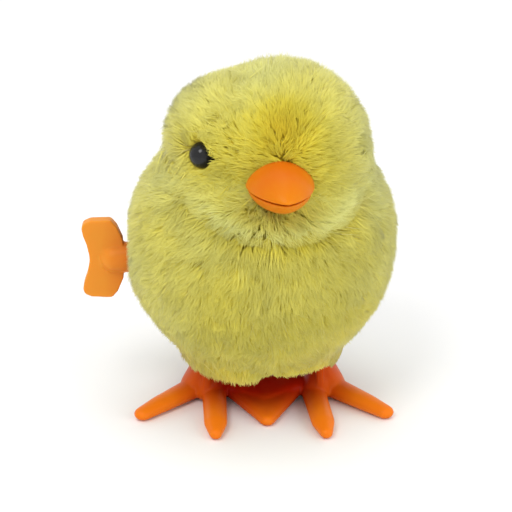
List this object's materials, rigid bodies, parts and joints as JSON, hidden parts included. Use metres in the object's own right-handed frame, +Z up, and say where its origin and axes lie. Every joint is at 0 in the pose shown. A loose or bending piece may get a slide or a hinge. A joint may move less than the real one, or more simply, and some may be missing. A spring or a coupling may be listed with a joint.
{
  "type": "wind-up hopping chicken",
  "caption": "Plush toy chick on a flat foot plate, with a clockwork motor and a side winding key, that rocks its feet to hop.",
  "frame": {"origin": "on the flat sole of the foot plate, midway between the legs", "axes": "+Z up; -Y is the way the chick faces; +X is the chick's left, and the winding key is on -X"},
  "size_m": [0.0533, 0.0494, 0.062],
  "materials": {
    "plush": "matte",
    "shell_plastic": "matte",
    "steel": "satin",
    "spring_steel": "satin",
    "beak_plastic": "satin",
    "eye_plastic": "gloss",
    "key_plastic": "satin",
    "gear_plastic": "satin",
    "case_plastic": "satin",
    "cam_plastic": "satin",
    "foot_plastic": "satin"
  },
  "bodies": {
    "chick": {"fur_body": "plush", "fur_head": "plush", "shell_left": "shell_plastic", "shell_right": "shell_plastic", "shell_screws": "steel", "beak": "beak_plastic", "beak_washer": "steel", "eye_left": "eye_plastic", "eye_right": "eye_plastic", "eye_washers": "steel", "motor_case": "case_plastic", "motor_cover": "case_plastic", "motor_screws": "steel", "foot_pivot_screws": "steel", "mainspring": "spring_steel"},
    "great": {"great_wheel": "gear_plastic", "click_spring": "spring_steel"},
    "winder": {"winding_key": "key_plastic", "winding_arbor": "steel", "ratchet_wheel": "steel"},
    "second": {"second_arbor": "steel", "second_gear": "gear_plastic"},
    "crank": {"crankshaft": "steel", "crank_gear": "gear_plastic", "cam_left": "cam_plastic", "cam_right": "cam_plastic"},
    "governor": {"governor_arbor": "steel", "governor_pinion": "gear_plastic", "governor_fly": "steel"},
    "foot": {"foot_plate": "foot_plastic"}
  },
  "joints": [
    {"name": "train_run", "type": "hinge", "parent": "chick", "child": "great", "pos_m": [0, -0.001, 0.0261], "axis": [1, 0, 0], "continuous": true},
    {"name": "key_wind", "type": "hinge", "parent": "great", "child": "winder", "pos_m": [0, -0.001, 0.0261], "axis": [1, 0, 0], "range_deg": [0, 2880], "deforming": ["mainspring", "click_spring"]},
    {"name": "second_spin", "type": "hinge", "parent": "chick", "child": "second", "pos_m": [0, 0.0044, 0.0177], "axis": [1, 0, 0], "continuous": true},
    {"name": "crank_spin", "type": "hinge", "parent": "chick", "child": "crank", "pos_m": [0, -0.00235, 0.0169], "axis": [1, 0, 0], "continuous": true},
    {"name": "governor_spin", "type": "hinge", "parent": "chick", "child": "governor", "pos_m": [0, -0.00725, 0.0196], "axis": [1, 0, 0], "continuous": true},
    {"name": "foot_hop", "type": "hinge", "parent": "chick", "child": "foot", "pos_m": [0, 0.0055, 0.0133], "axis": [1, 0, 0], "range_deg": [-4.9, 4.9]}
  ],
  "couplings": [
    {"joint": "second_spin", "follows": "train_run", "ratio": -4},
    {"joint": "crank_spin", "follows": "train_run", "ratio": 9.6},
    {"joint": "governor_spin", "follows": "train_run", "ratio": -24}
  ]
}
